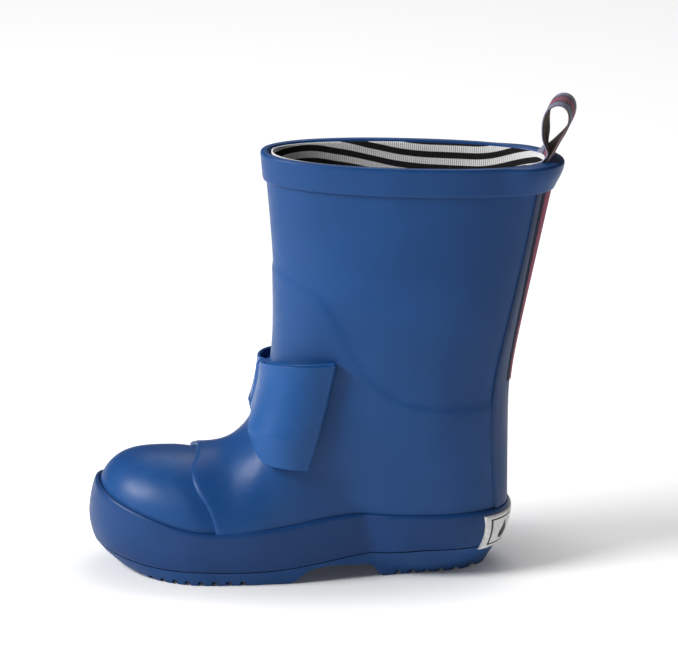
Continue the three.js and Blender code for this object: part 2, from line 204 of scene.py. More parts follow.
def section(u):
    level = np.clip(u, 0, 1)
    z = mix(LEG_TOP, FAN_Z, level)
    tilt = RIM_SLOPE * (1 - step(0.3, 1.0, level))
    turn = np.clip(u - 1, 0, 1) * math.pi / 2
    along = np.sin(np.clip(u - 2, 0, 1) * math.pi / 2)
    centre = np.zeros(u.shape + (3,))
    leg_x = mix((leg_back(z) + leg_front(z)) / 2, 45.0, step(0.6, 1.0, level))
    fan_x = FAN_X - FAN_REACH * np.cos(turn)
    fan_z = FAN_Z - FAN_REACH * np.sin(turn)
    foot_x = mix(TOE_START, BOOT_LENGTH, along)
    centre[..., 0] = np.where(u < 1, leg_x, np.where(u < 2, fan_x, foot_x))
    centre[..., 2] = np.where(u < 1, z + tilt * (leg_x - RIM_X), fan_z)
    bend = foot_centre(TOE_START) * step(1.5, 2, u)
    centre[..., 1] = np.where(u < 2, bend, foot_centre(foot_x))
    front = np.zeros(u.shape + (3,))
    front[..., 0] = np.cos(turn)
    front[..., 2] = np.sin(turn) + tilt * (u < 1)
    blend = step(1.0, 2.0, u)
    return centre, front, mix(50, 28, blend), mix(27, 32, blend)


def surface(u, angle):
    u, angle = np.broadcast_arrays(np.asarray(u, float), np.asarray(angle, float))
    centre, front, long, wide = section(u)
    direction = front * (long * np.cos(angle))[..., None]
    direction[..., 1] += wide * np.sin(angle)
    return cast(centre, direction)


def line(knots):
    """A smooth curve z(x), or x(z), through knots, with no overshoot."""
    xs = np.array([k[0] for k in knots], float)
    ys = np.array([k[1] for k in knots], float)
    slopes = np.diff(ys) / np.diff(xs)
    tangent = np.concatenate([[slopes[0]], (slopes[1:] + slopes[:-1]) / 2, [slopes[-1]]])
    tangent[1:-1][slopes[1:] * slopes[:-1] <= 0] = 0

    def value(t):
        t = np.clip(t, xs[0], xs[-1])
        i = np.clip(np.searchsorted(xs, t) - 1, 0, len(xs) - 2)
        h = xs[i + 1] - xs[i]
        s = (t - xs[i]) / h
        return (
            (2 * s**3 - 3 * s**2 + 1) * ys[i] + (s**3 - 2 * s**2 + s) * h * tangent[i]
            + (3 * s**2 - 2 * s**3) * ys[i + 1] + (s**3 - s**2) * h * tangent[i + 1]
        )

    return value


band_top = line([(-30, 27.6), (40, 27.7), (72, 27.2), (95, 24.3), (120, 22.5), (133, 23.8),
                 (150, 28.8), (163, 33.6), (169, 36.6), (190, 43)])
sole_top = line([(-30, 13), (30, 13), (60, 10.5), (95, 6.6), (130, 6.4), (155, 8.8), (172, 14),
                 (190, 21)])
ground = line([(-30, 0), (52, 0), (57, 5.6), (82, 5.2), (90, 0), (148, 0), (156, 1.4),
               (163, 4.2), (168, 7), (173, 10.5), (190, 17)])
leg_edge = line([(-30, 71), (10, 71), (38, 73), (52, 79), (64, 93), (69, 103), (75, 114.5),
                 (85, 121), (96, 126), (120, 128)])
toe_edge = line([(0, 119), (24, 120), (32.3, 123), (39, 127.7), (44.5, 129.4), (48.5, 126.8),
                 (70, 124)])

# ------------------------------------------------------------------ meshes


def place(points):
    out = np.array(points, float).reshape(-1, 3)
    return (out + [SHIFT_X, SHIFT_Y, 0]) / 1000


def mesh_object(name, points, faces, attributes=None, merge=0.0, sharp=None):
    me = bpy.data.meshes.new(name)
    me.from_pydata(place(points).tolist(), [], faces)
    for key, values in (attributes or {}).items():
        layer = me.attributes.new(key, "FLOAT", "POINT")
        layer.data.foreach_set("value", np.asarray(values, np.float32).ravel())
    if merge:
        bm = bmesh.new()
        bm.from_mesh(me)
        bmesh.ops.remove_doubles(bm, verts=bm.verts, dist=merge)
        bm.to_mesh(me)
        bm.free()
    me.polygons.foreach_set("use_smooth", [True] * len(me.polygons))
    if sharp:
        me.set_sharp_from_angle(angle=math.radians(sharp))
    me.update()
    obj = bpy.data.objects.new(name, me)
    bpy.context.scene.collection.objects.link(obj)
    return obj


def grid_faces(rows, columns, wrap_rows=False, wrap_columns=False, flip=False, start=0):
    faces = []
    for r in range(rows if wrap_rows else rows - 1):
        for c in range(columns if wrap_columns else columns - 1):
            r2, c2 = (r + 1) % rows, (c + 1) % columns
            quad = [r * columns + c, r * columns + c2, r2 * columns + c2, r2 * columns + c]
            quad = [start + i for i in quad]
            faces.append(quad[::-1] if flip else quad)
    return faces


def slab_patch(outer, inner, flip=False):
    """A closed plate between two equal grids of points."""
    rows, columns = outer.shape[:2]
    n = rows * columns
    faces = grid_faces(rows, columns, flip=flip) + grid_faces(rows, columns, flip=not flip, start=n)
    edge = list(range(columns)) + [r * columns + columns - 1 for r in range(1, rows)]
    edge += [(rows - 1) * columns + c for c in range(columns - 2, -1, -1)]
    edge += [r * columns for r in range(rows - 2, 0, -1)]
    for i, a in enumerate(edge):
        b = edge[(i + 1) % len(edge)]
        faces.append([b, a, a + n, b + n] if not flip else [a, b, b + n, a + n])
    return np.concatenate([outer.reshape(-1, 3), inner.reshape(-1, 3)]), faces


def offset(points, distance, normals=None):
    normals = body_normal(points) if normals is None else normals
    return points + normals * np.asarray(distance, float)[..., None]


def fine(count):
    return max(12, int(count * (1)))


# ------------------------------------------------------------------ materials


class Nodes:
    """Short spelling for building one material's node tree."""

    def __init__(self, name, **shader):
        self.material = bpy.data.materials.new(name)
        self.material.use_nodes = True
        self.tree = self.material.node_tree
        self.shader = self.tree.nodes["Principled BSDF"]
        for key, value in shader.items():
            self.shader.inputs[key.replace("_", " ")].default_value = value

    def add(self, kind, settings=None, **inputs):
        node = self.tree.nodes.new("ShaderNode" + kind)
        for key, value in (settings or {}).items():
            setattr(node, key, value)
        for key, value in inputs.items():
            numbered = key[0] == "i" and key[1:].isdigit()
            self.set(node.inputs[int(key[1:]) if numbered else key.replace("_", " ")], value)
        return node

    def set(self, socket, value):
        if isinstance(value, bpy.types.NodeSocket):
            self.tree.links.new(value, socket)
        elif isinstance(value, bpy.types.Node):
            self.tree.links.new(value.outputs[0], socket)
        else:
            socket.default_value = value

    def math(self, operation, a, b=0.0, clamp=False):
        return self.add("Math", {"operation": operation, "use_clamp": clamp}, i0=a, i1=b).outputs[0]

    def mix(self, factor, a, b):
        node = self.add("Mix", {"data_type": "RGBA"})
        self.set(node.inputs[0], factor)
        self.set(node.inputs[6], a)
        self.set(node.inputs[7], b)
        return node.outputs[2]

    def noise(self, scale, detail=2.0, roughness=0.5, vector=None):
        node = self.add("TexNoise", Scale=scale, Detail=detail, Roughness=roughness)
        self.set(node.inputs["Vector"], vector or self.object_space())
        return node.outputs[0]

    def object_space(self):
        return self.add("TexCoord").outputs["Object"]

    def attribute(self, name):
        return self.add("Attribute", {"attribute_name": name}).outputs["Fac"]

    def ramp(self, factor, low, high):
        settings = {"interpolation_type": "SMOOTHSTEP"}
        node = self.add("MapRange", settings, Value=factor, From_Min=low, From_Max=high)
        return node.outputs[0]

    def bump(self, height, strength, distance=0.001):
        node = self.add("Bump", Height=height, Strength=strength, Distance=distance)
        self.set(self.shader.inputs["Normal"], node.outputs["Normal"])

    def colour(self, value):
        self.set(self.shader.inputs["Base Color"], value)

    def rough(self, value):
        self.set(self.shader.inputs["Roughness"], value)


def rubber(name, deep, light, low=0.36, high=0.46, grain=0.05):
    n = Nodes(name, Specular_IOR_Level=0.24)
    broad = n.noise(28.0, 3.0)
    fine_grain = n.noise(1400.0, 3.0, 0.6)
    cloud = n.ramp(broad, 0.3, 0.7)
    n.colour(n.mix(cloud, (*deep, 1), (*light, 1)))
    smudge = n.ramp(n.noise(90.0, 4.0, 0.6), 0.35, 0.7)
    n.rough(n.math("ADD", n.math("MULTIPLY", smudge, high - low), low))
    n.bump(n.math("ADD", n.math("MULTIPLY", broad, 0.6), n.math("MULTIPLY", fine_grain, 0.25)), grain)
    return n.material


def knit_material():
    """Rib knit in black and white stripes; `fall` is millimetres down from the rim."""
    n = Nodes("knit", Roughness=0.95, Specular_IOR_Level=0.2)
    fall, around = n.attribute("fall"), n.attribute("around")
    wave = n.math("MULTIPLY", n.math("SUBTRACT", n.noise(30.0, 2.0), 0.5), 1.6)
    phase = n.math("FRACT", n.math("DIVIDE", n.math("ADD", fall, wave), 5.3))
    edge = n.math("ABSOLUTE", n.math("SUBTRACT", phase, 0.5))
    stripe = n.ramp(edge, 0.235, 0.275)
    rib = n.math("ABSOLUTE", n.math("SINE", n.math("MULTIPLY", around, math.pi / 0.75)))
    stitch = n.math("ABSOLUTE", n.math("SINE", n.math("MULTIPLY", fall, math.pi / 0.9)))
    # Both yarns are darker in the troughs between the ribs: painted shade.
    white = n.mix(rib, (0.60, 0.60, 0.61, 1), (0.90, 0.90, 0.89, 1))
    black = n.mix(rib, (0.004, 0.004, 0.005, 1), (0.018, 0.017, 0.018, 1))
    n.colour(n.mix(stripe, white, black))
    height = n.math("ADD", n.math("MULTIPLY", rib, 0.8), n.math("MULTIPLY", stitch, 0.3))
    n.bump(n.math("ADD", height, n.math("MULTIPLY", n.noise(900.0, 3.0), 0.3)), 0.5, 0.0006)
    return n.material


def ribbon_material(name, red_edge, navy_edge, fading):
    """Grosgrain in three colours: red inside `red_edge`, a navy line, then slate to the selvedge.

    `across` runs -1 to 1 over the width, `along` is in millimetres and `inside` marks the
    loop's inner face, which is plain dark brown.
    """
    n = Nodes(name, Roughness=0.8, Sheen_Weight=0.15, Sheen_Roughness=0.5)
    across = n.math("ABSOLUTE", n.attribute("across"))
    cord_and_groove_shade = n.math("ABSOLUTE", n.math("SINE", n.math("MULTIPLY", n.attribute("along"), math.pi / 0.75)))
    wear = n.ramp(n.noise(260.0, 3.0), 0.3, 0.75)
    # Every colour here, the brown of the inner face too, is darker in the grooves between the cords: painted
    # shade.
    slate = n.mix(cord_and_groove_shade, (0.075, 0.085, 0.145, 1), (0.23, 0.245, 0.345, 1))
    navy = n.mix(cord_and_groove_shade, (0.006, 0.009, 0.025, 1), (0.014, 0.020, 0.05, 1))
    red = n.mix(cord_and_groove_shade, (0.13, 0.010, 0.032, 1), (0.42, 0.036, 0.105, 1))
    red = n.mix(n.math("MULTIPLY", wear, fading), red, (0.13, 0.050, 0.095, 1))
    inner = n.ramp(across, red_edge - 0.02, red_edge + 0.02)
    outer = n.ramp(across, navy_edge - 0.02, navy_edge + 0.02)
    face = n.mix(outer, n.mix(inner, red, navy), slate)
    brown = n.mix(cord_and_groove_shade, (0.050, 0.026, 0.020, 1), (0.17, 0.098, 0.075, 1))
    n.colour(n.mix(n.attribute("inside"), face, brown))
    n.bump(n.math("ADD", cord_and_groove_shade, n.math("MULTIPLY", n.noise(1500.0), 0.4)), 0.5, 0.0004)
    return n.material


def strip_material():
    """The back strip: blue rubber with a painted sheen that turns it a lighter slate grey high on the leg,
    nearer the upper's blue by the heel.
    """
    n = Nodes("strip_rubber", Specular_IOR_Level=0.35)
    height = n.add("SeparateXYZ", i0=n.object_space()).outputs[2]
    # Painted sheen: the strip's colour turns lighter and greyer with height.
    slate = n.ramp(height, 0.045, 0.135)
    cloud = n.ramp(n.noise(60.0, 3.0), 0.3, 0.7)
    low = n.mix(cloud, (0.010, 0.045, 0.150, 1), (0.013, 0.056, 0.180, 1))
    high = n.mix(cloud, (0.040, 0.062, 0.125, 1), (0.055, 0.080, 0.155, 1))
    n.colour(n.mix(slate, low, high))
    n.rough(n.math("ADD", n.math("MULTIPLY", cloud, 0.1), 0.45))
    n.bump(n.noise(1200.0, 3.0), 0.05)
    return n.material


def label_material():
    """White rubber plate with a thin black border and four small raindrops.

    `rim` is millimetres in from the plate's edge; `drop` is negative inside a raindrop.
    """
    n = Nodes("label", Specular_IOR_Level=0.4)
    border = n.math("ABSOLUTE", n.math("SUBTRACT", n.attribute("rim"), 1.75))
    border = n.ramp(border, 0.20, 0.42)
    drop = n.ramp(n.attribute("drop"), -0.12, 0.12)
    ink = n.math("MULTIPLY", border, drop)
    speckle = n.ramp(n.noise(500.0, 3.0), 0.3, 0.7)
    white = n.mix(speckle, (0.72, 0.72, 0.69, 1), (0.84, 0.84, 0.82, 1))
    n.colour(n.mix(ink, (0.012, 0.012, 0.016, 1), white))
    n.rough(n.math("ADD", n.math("MULTIPLY", speckle, 0.12), 0.42))
    n.bump(speckle, 0.05, 0.0003)
    return n.material


BLUE_DEEP, BLUE_LIGHT = (0.0080, 0.054, 0.188), (0.0105, 0.066, 0.222)
MATERIALS = {
    "upper": rubber("upper_rubber", BLUE_DEEP, BLUE_LIGHT),
    # The band's rubber is a darker copy of the upper's blue: painted shade, for the low band that gets less
    # light.
    "band": rubber("band_rubber", (0.0050, 0.037, 0.138), (0.0070, 0.046, 0.165), 0.38, 0.48),
    # The bow's rubber is a lighter copy of the upper's blue: painted light, for the direct light its face
    # catches.
    "bow": rubber("bow_rubber_painted_light", (0.0100, 0.070, 0.235), (0.0130, 0.083, 0.275)),
    "tread": rubber("tread_rubber", (0.0085, 0.050, 0.170), (0.011, 0.062, 0.205), 0.5, 0.65, 0.12),
    "strip": strip_material(),
    "knit": knit_material(),
    "ribbon": ribbon_material("ribbon", 0.34, 0.52, 0.8),
    "red": ribbon_material("back_ribbon", 0.86, 1.2, 0.3),
    "label": label_material(),
}


def finish_piece(obj, material, nodes, body="boot"):
    obj.data.materials.append(MATERIALS[material])
    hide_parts(*nodes)
    if body:
        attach(obj, body)
    return obj


# ------------------------------------------------------------------ rubber wall


def relief(p):
    """How far the rubber stands proud over the layer under it, below the ankle line."""
    x, z = p[..., 0], p[..., 2]
    height = leg_edge(x)
    slope = leg_edge(x + 0.5) - leg_edge(x - 0.5)
    away = (z - height) / np.sqrt(1 + slope**2)
    return 0.45 * (1 - step(-2.0, 2.0, away))


def toe_crossing(angle):
    """The section at which each column of the upper reaches the toe seam."""
    low, high = np.full(angle.shape, 1.4), np.full(angle.shape, 2.9)
    for _ in range(24):
        middle = (low + high) / 2
        p = surface(middle, angle)
        before = p[..., 0] < toe_edge(p[..., 2])
        low, high = np.where(before, middle, low), np.where(before, high, middle)
    return (low + high) / 2


COLUMNS = fine(220)
ANGLES = np.arange(COLUMNS) * 2 * math.pi / COLUMNS
TOE_U = toe_crossing(ANGLES)


def rubber_wall():
    top = drop_to_u(1.5)
    rows = fine(230)
    share = np.linspace(0, 1, rows)
    share = mix(share, 1 - (1 - share) ** 2, 0.35)
    u = top + (TOE_U[None] - top) * share[:, None]
    points = surface(u, ANGLES[None])
    normals = body_normal(points)
    seam = np.linalg.norm(points - points[-1:], axis=-1)
    lip = 0.85 * (1 - step(0.0, 26.0, seam)) * (0.3 + 0.7 * np.sqrt(np.clip(seam / 1.8, 0, 1)))
    outer = offset(points, relief(points) + lip, normals)
    inner = offset(points, np.full(seam.shape, -WALL), normals)
    outer[..., 2] = np.maximum(outer[..., 2], 6.5)
    inner[..., 2] = np.maximum(inner[..., 2], 8.0)
    grid = np.concatenate([outer, inner[::-1]])
    obj = mesh_object("upper", grid, grid_faces(len(grid), COLUMNS, True, True, flip=True))
    return finish_piece(obj, "upper", ["leg_shaft", "vamp"])


def toe_cap():
    start = TOE_U - 0.09
    rows = fine(90)
    share = np.linspace(0, 1, rows) ** 0.8
    u = start[None] + (2.985 - start[None]) * share[:, None]
    points = surface(u, ANGLES[None])
    seam = points[..., 0] - toe_edge(points[..., 2])
    normals = body_normal(points)
    outer = offset(points, -0.7 * (1 - step(-0.5, 8.0, seam)), normals)
    inner = offset(points, np.full(seam.shape, -WALL), normals)
    outer[..., 2] = np.maximum(outer[..., 2], 6.5)
    inner[..., 2] = np.maximum(inner[..., 2], 8.0)
    grid = np.concatenate([outer, inner[::-1]])
    faces = grid_faces(rows, COLUMNS, False, True, flip=True)
    faces += grid_faces(rows, COLUMNS, False, True, flip=True, start=rows * COLUMNS)
    last = (2 * rows - 1) * COLUMNS
    faces += [[c, (c + 1) % COLUMNS, last + (c + 1) % COLUMNS, last + c] for c in range(COLUMNS)]
    nose = (rows - 1) * COLUMNS
    faces.append([nose + c for c in range(COLUMNS)][::-1])
    faces.append([nose + COLUMNS + c for c in range(COLUMNS)])
    obj = mesh_object("toe", grid, faces)
    return finish_piece(obj, "upper", ["toe_cap"])


# ------------------------------------------------------------------ collar and lining


def ribbon_bulge(p):
    return (1.3 + 1.9 * step(157, 167, p[..., 2])) * step(6, -8, p[..., 0])


def collar():
    path = [  # (drop below the rim, offset), round the section of the collar
        (11.6, 0.05), (11.75, 0.7), (11.4, 1.2), (10.7, 1.42), (8.0, 1.42), (4.0, 1.42), (2.0, 1.45),
        (0.9, 1.42), (0.3, 1.15), (0.0, 0.5), (-0.05, -0.4), (0.05, -1.2), (0.4, -1.75), (1.2, -2.0),
        (2.4, -1.9), (3.4, -1.4), (3.0, -0.2),
    ]
    path = smooth_loop(path, 3)
    columns = fine(260)
    angle = np.arange(columns) * 2 * math.pi / columns
    rows = []
    for drop, away in path:
        p = surface(np.full(columns, drop_to_u(drop)), angle)
        bulge = np.where(away > -0.3, 1.0, 0.0) * ribbon_bulge(p)
        rows.append(offset(p, away + bulge))
    obj = mesh_object("collar", np.array(rows), grid_faces(len(rows), columns, True, True))
    return finish_piece(obj, "upper", ["collar_band"])


def smooth_loop(path, times):
    """More points along a closed path, rounding its corners."""
    p = np.array(path, float)
    for _ in range(times):
        q = np.roll(p, -1, axis=0)
        p = np.stack([0.75 * p + 0.25 * q, 0.25 * p + 0.75 * q], 1).reshape(-1, p.shape[1])
    return p


far_sag = line([(-14, 3), (12, 10), (44, 9), (68.6, 4.2), (85, 2), (100, 3)])
near_sag = line([(-14, 3), (12, 6), (44, 5), (68.6, 3), (85, 2), (100, 3)])


def stripe_sag(points):
    """How far the knit's stripes sag below the rim: the fabric was hung a little askew."""
    x, y = points[..., 0], points[..., 1]
    return mix(far_sag(x), near_sag(x), step(-12, 12, y))


def lining():
    columns = fine(200)
    angle = np.arange(columns) * 2 * math.pi / columns
    drops = np.concatenate([np.linspace(0.75, 60, fine(90)), np.linspace(62, 76, fine(8))])
    u = np.concatenate([drop_to_u(drops), np.linspace(1.0, 2.94, fine(70))[1:]])
    points = surface(u[:, None], angle[None])
    normals = body_normal(points)
    rows = len(u)
    mouth = np.exp(-((np.arange(rows) / 2.0) ** 2))[:, None] * np.ones(columns)
    inner = offset(points, LINING_IN + 0.25 * mouth, normals)
    outer = offset(points, LINING_OUT - 0.15 * mouth, normals)
    floor = sole_top(points[..., 0])
    inner[..., 2] = np.maximum(inner[..., 2], floor + 5.6)
    outer[..., 2] = np.maximum(outer[..., 2], floor + 4.5)
    grid = np.concatenate([outer, inner[::-1]])
    length = np.linalg.norm(np.diff(points, axis=0), axis=-1).cumsum(0)
    fall = np.concatenate([np.zeros((1, columns)), length])
    fall = fall - stripe_sag(points)
    girth = np.arange(columns) / columns * 264.0
    round_it = np.repeat(girth[None], rows, 0)
    faces = grid_faces(rows, columns, False, True, flip=True)
    faces += grid_faces(rows, columns, False, True, flip=True, start=rows * columns)
    last = (2 * rows - 1) * columns
    faces += [[c, (c + 1) % columns, last + (c + 1) % columns, last + c] for c in range(columns)]
    nose = (rows - 1) * columns
    faces.append([nose + c for c in range(columns)][::-1])
    faces.append([nose + columns + c for c in range(columns)])
    marks = {
        "fall": np.concatenate([fall, fall[::-1]]),
        "around": np.concatenate([round_it, round_it[::-1]]),
    }
    obj = mesh_object("lining", grid, faces, marks)
    finish_piece(obj, "knit", ["lining_sock"])


# ------------------------------------------------------------------ band and sole

HEEL_X, TOE_X = 28.0, 126.0


def footprint_rays(count):
    """Level rays outward round the foot from its middle line: starts and directions."""
    heel, side, toe = int(count * 0.25), int(count * 0.22), int(count * 0.31)
    starts, directions = [], []
    for i in range(heel):
        turn = math.pi / 2 + math.pi * i / heel
        starts.append((HEEL_X, 0))
        directions.append((math.cos(turn), math.sin(turn)))
    for i in range(side):
        starts.append((mix(HEEL_X, TOE_X, i / side), 0))
        directions.append((0, -1))
    for i in range(toe):
        turn = -math.pi / 2 + math.pi * i / toe
        starts.append((TOE_X, 0))
        directions.append((math.cos(turn), math.sin(turn)))
    for i in range(side):
        starts.append((mix(TOE_X, HEEL_X, i / side), 0))
        directions.append((0, 1))
    starts = np.array(starts, float)
    directions = np.array(directions, float)
    starts[:, 1] = foot_centre(starts[:, 0])
    return starts, directions


def around_foot(starts, directions, height):
    """Points on the body where the level rays meet it, at height(x) of the point itself."""
    z = np.full(len(starts), 20.0)
    flat = np.concatenate([directions, np.zeros((len(directions), 1))], 1)
    for _ in range(7):
        p = cast(np.concatenate([starts, z[:, None]], 1), flat)
        z = height(p[:, 0])
    return p


def level_line(lower, upper, share, add=0.0):
    """The height line(x) at that share of the way between two lines, plus some millimetres."""
    return lambda x: mix(lower(x), upper(x), share) + add


def band():
    path = [  # (share of the height, millimetres to add, offset), round the section
        (0, 0.1, 0.3), (0, 0.08, 1.85), (0, 0.5, 1.99), (0.25, 0, 2.0), (0.5, 0, 2.0), (0.75, 0, 2.0),
        (1, -2.2, 2.02), (1, -1.2, 2.0), (1, -0.55, 1.8), (1, -0.12, 1.4), (1, 0.0, 0.9), (1, -0.2, 0.3),
        (1, -1.2, -0.1), (0.5, 0, -0.3),
    ]
    starts, directions = footprint_rays(fine(340))
    rows = []
    for share, add, away in path:
        p = around_foot(starts, directions, level_line(sole_top, band_top, share, add))
        rows.append(offset(p, np.full(len(p), away)))
    columns = len(starts)
    obj = mesh_object("band", np.array(rows), grid_faces(len(rows), columns, True, True))
    smooth = obj.modifiers.new("smooth", "SUBSURF")
    smooth.levels = smooth.render_levels = 1
    return finish_piece(obj, "band", ["foxing_band"])


def sole():
    starts, directions = footprint_rays(fine(300))
    n = len(starts)
    rows = []
    outer_top = offset(around_foot(starts, directions, sole_top), np.full(n, 1.93))
    spine = np.concatenate([starts, sole_top(starts[:, 0])[:, None]], 1)
    rows.append(spine)
    rows.append(mix(spine, outer_top, 0.9))
    rows.append(outer_top)
    for share in (0.35, 0.65, 0.88):
        row = around_foot(starts, directions, level_line(sole_top, ground, share))
        row = offset(row, np.full(n, 1.95))
        row[:, 2] = np.maximum(row[:, 2], ground(row[:, 0]) + 0.15)
        rows.append(row)
    low = offset(around_foot(starts, directions, ground), np.full(n, 1.3))
    low[:, 2] = ground(low[:, 0])
    rows.append(low)
    for share in (0.06, 0.2, 0.4, 0.6, 0.8, 1.0):
        p = mix(low, np.concatenate([starts, low[:, 2:]], 1), share)
        p[:, 2] = ground(p[:, 0])
        rows.append(p)
    obj = mesh_object("sole", np.array(rows), grid_faces(len(rows), n, False, True), merge=1e-6)
    cut = groove_mesh()
    boolean = obj.modifiers.new("grooves", "BOOLEAN")
    boolean.operation = "DIFFERENCE"
    boolean.object = cut
    boolean.solver = "EXACT"
    dg = bpy.context.evaluated_depsgraph_get()
    obj.modifiers.update()
    me = bpy.data.meshes.new_from_object(obj.evaluated_get(dg))
    obj.modifiers.clear()
    obj.data = me
    me.materials.clear()
    me.polygons.foreach_set("use_smooth", [True] * len(me.polygons))
    me.set_sharp_from_angle(angle=math.radians(32))
    bpy.data.objects.remove(cut)
    return finish_piece(obj, "tread", ["outsole"])


# The tread's grooves: (first groove's X, how many, spacing, width of the rib left in the middle).
HEEL_GROOVES = (11.8, 6, 5.5, 5.5)
FOREFOOT_GROOVES = (98.3, 11, 5.7, 7.5)
GROOVE_DEPTH = 1.9
GROOVE_REACH = 60
GROOVE_SWEEP = 0.32  # radians that each groove runs toward the toe on its way out
GROOVE_SECTION = ((-1.05, -4), (1.05, -4), (1.25, -2.4), (1.05, 0), (-1.05, 0), (-1.25, -2.4))


def groove_mesh():
    points, faces = [], []
    for first, count, pitch, rib in (HEEL_GROOVES, FOREFOOT_GROOVES):
        for i in range(count):
            x = first + i * pitch
            deep = ground(np.array(x)) + GROOVE_DEPTH
            for side in (-1, 1):
                for across in (rib, rib + GROOVE_REACH):
                    along = x + across * math.sin(GROOVE_SWEEP)
                    out = side * across * math.cos(GROOVE_SWEEP)
                    points += [(along + dx, out, deep + dz) for dx, dz in GROOVE_SECTION]
                base = len(points) - 12
                near = [base + k for k in range(6)]
                far = [base + 6 + k for k in range(6)]
                ring = [[near[k], near[(k + 1) % 6], far[(k + 1) % 6], far[k]] for k in range(6)]
                ring += [near[::-1], far]
                faces += ring if side < 0 else [f[::-1] for f in ring]
    return mesh_object("grooves", points, faces)


# ------------------------------------------------------------------ back strip and label


def back_half_width(z):
    return 12 + 5.6 * (1 - step(55, 150, z))


def back_points(y, z):
    """Points on the back of the boot at side position y and height z."""
    start = np.stack([np.full(y.shape, 40.0), y, z], -1)
    return cast(start, np.broadcast_to(np.array([-1.0, 0, 0]), start.shape))


def rounded(distance, radius, height):
    """Height of a plate whose edges are rounded over: 0 at the edge, full height inside."""
    t = np.clip(distance / radius, 0, 1)
    return height * np.sqrt(np.clip(1 - (1 - t) ** 2, 0, 1))


def strip():
    rows, columns = fine(150), fine(46)
    across = np.sin(np.linspace(-1, 1, columns) * math.pi / 2)[None]
    z = np.linspace(26.5, 159.0, rows)[:, None]
    y = across * back_half_width(z)
    points = back_points(y, z + 0 * y)
    edge = (1 - np.abs(across)) * back_half_width(z)
    height = 0.15 + rounded(edge, 0.9, 1.15)
    outer = offset(points, height)
    inner = offset(points, np.full(edge.shape, -0.6))
    grid, faces = slab_patch(outer, inner)
    obj = mesh_object("back_strip_rubber", grid, faces)
    finish_piece(obj, "strip", ["back_strip"])


RED_HALF_WIDTH = 10.6


def back_ribbon():
    rows, columns = fine(120), 15
    across = np.linspace(-1, 1, columns)[None]
    z = np.linspace(79.0, 159.0, rows)[:, None]
    y = across * RED_HALF_WIDTH + 0 * z
    points = back_points(y, z + 0 * y)
    edge = (1 - np.abs(across)) * RED_HALF_WIDTH + 0 * z
    outer = offset(points, 1.35 + rounded(edge, 0.5, 0.45))
    inner = offset(points, np.full(y.shape, 0.9))
    grid, faces = slab_patch(outer, inner)
    wide = np.repeat(across, rows, 0)
    long = np.repeat(z, columns, 1)
    marks = {"across": np.stack([wide, wide]), "along": np.stack([long, long])}
    obj = mesh_object("back_stripe", grid, faces, marks)
    finish_piece(obj, "red", ["back_ribbon"])


def raindrop(side, up):
    """Signed distance, in millimetres, to a small upright raindrop about the origin."""
    round_part = np.hypot(side, up + 0.9) - 2.3
    half_width = 2.3 * np.clip((4.0 - up) / 4.6, 0, 1)
    point = np.maximum(np.abs(side) - half_width, -0.6 - up)
    return np.minimum(round_part, np.maximum(point, up - 4.0))


def heel_label():
    rows, columns = fine(60), fine(150)
    share = np.sin(np.linspace(-1, 1, columns) * math.pi / 2)[None]
    rise = (0.5 + 0.5 * np.sin(np.linspace(-1, 1, rows) * math.pi / 2))[:, None]
    z = mix(12.2, 25.4, rise)
    half = mix(20.4, 21.9, rise)
    y = share * half
    points = back_points(y, z + 0 * y)
    edge = np.minimum((1 - np.abs(share)) * half, np.minimum(rise, 1 - rise) * 13.2)
    outer = offset(points, 2.0 + rounded(edge, 0.8, 1.0))
    inner = offset(points, np.full(edge.shape, 1.4))
    grid, faces = slab_patch(outer, inner)
    drops = [raindrop(y - middle, z + 0 * y - 18.4) for middle in (-13.5, -4.5, 4.5, 13.5)]
    drop = np.min(drops, axis=0)
    marks = {"rim": np.stack([edge, edge]), "drop": np.stack([drop, drop])}
    obj = mesh_object("label_plate", grid, faces, marks)
    finish_piece(obj, "label", ["heel_label"])


# ------------------------------------------------------------------ bow

BOW_AXIS = 58.0
BOW_SHEET = 1.5


def bow_points(out, up, side):
    """Points on the boot under a wing, with normals: `out` is 0 at the knot and 1 at the outer
    fold, `up` is 0 at the lower edge and 1 at the upper edge."""
    bottom = mix(67, 48.3, step(0.26, 0.74, out))
    top = mix(85, 91.5 if side > 0 else 79.5, np.clip(out, 0, 2) ** 0.7)
    turn = mix(0.1, mix(0.95, 1.18, up), out)
    height = mix(bottom, top, up)
    hang = np.maximum(0, 60 - height)
    start = np.stack([np.full(out.shape, BOW_AXIS), 0 * out, height + hang], -1)
    direction = np.stack([np.cos(turn) * 44, side * np.sin(turn) * 34, 0 * out], -1)
    p = cast(start, direction)
    normal = body_normal(p)
    p[..., 2] -= hang
    return p, normal


def front_stand_off(out, up):
    """How far the front sheet stands off the boot as it puffs out between knot and fold."""
    puff = np.maximum(0, np.sin(math.pi * np.clip(out, 0, 1) ** 1.35))
    lift = mix(0.3 + 0.7 * up, 1, out)
    return 1.2 + (1.8 + 0.8 * out + 5.2 * puff) * lift


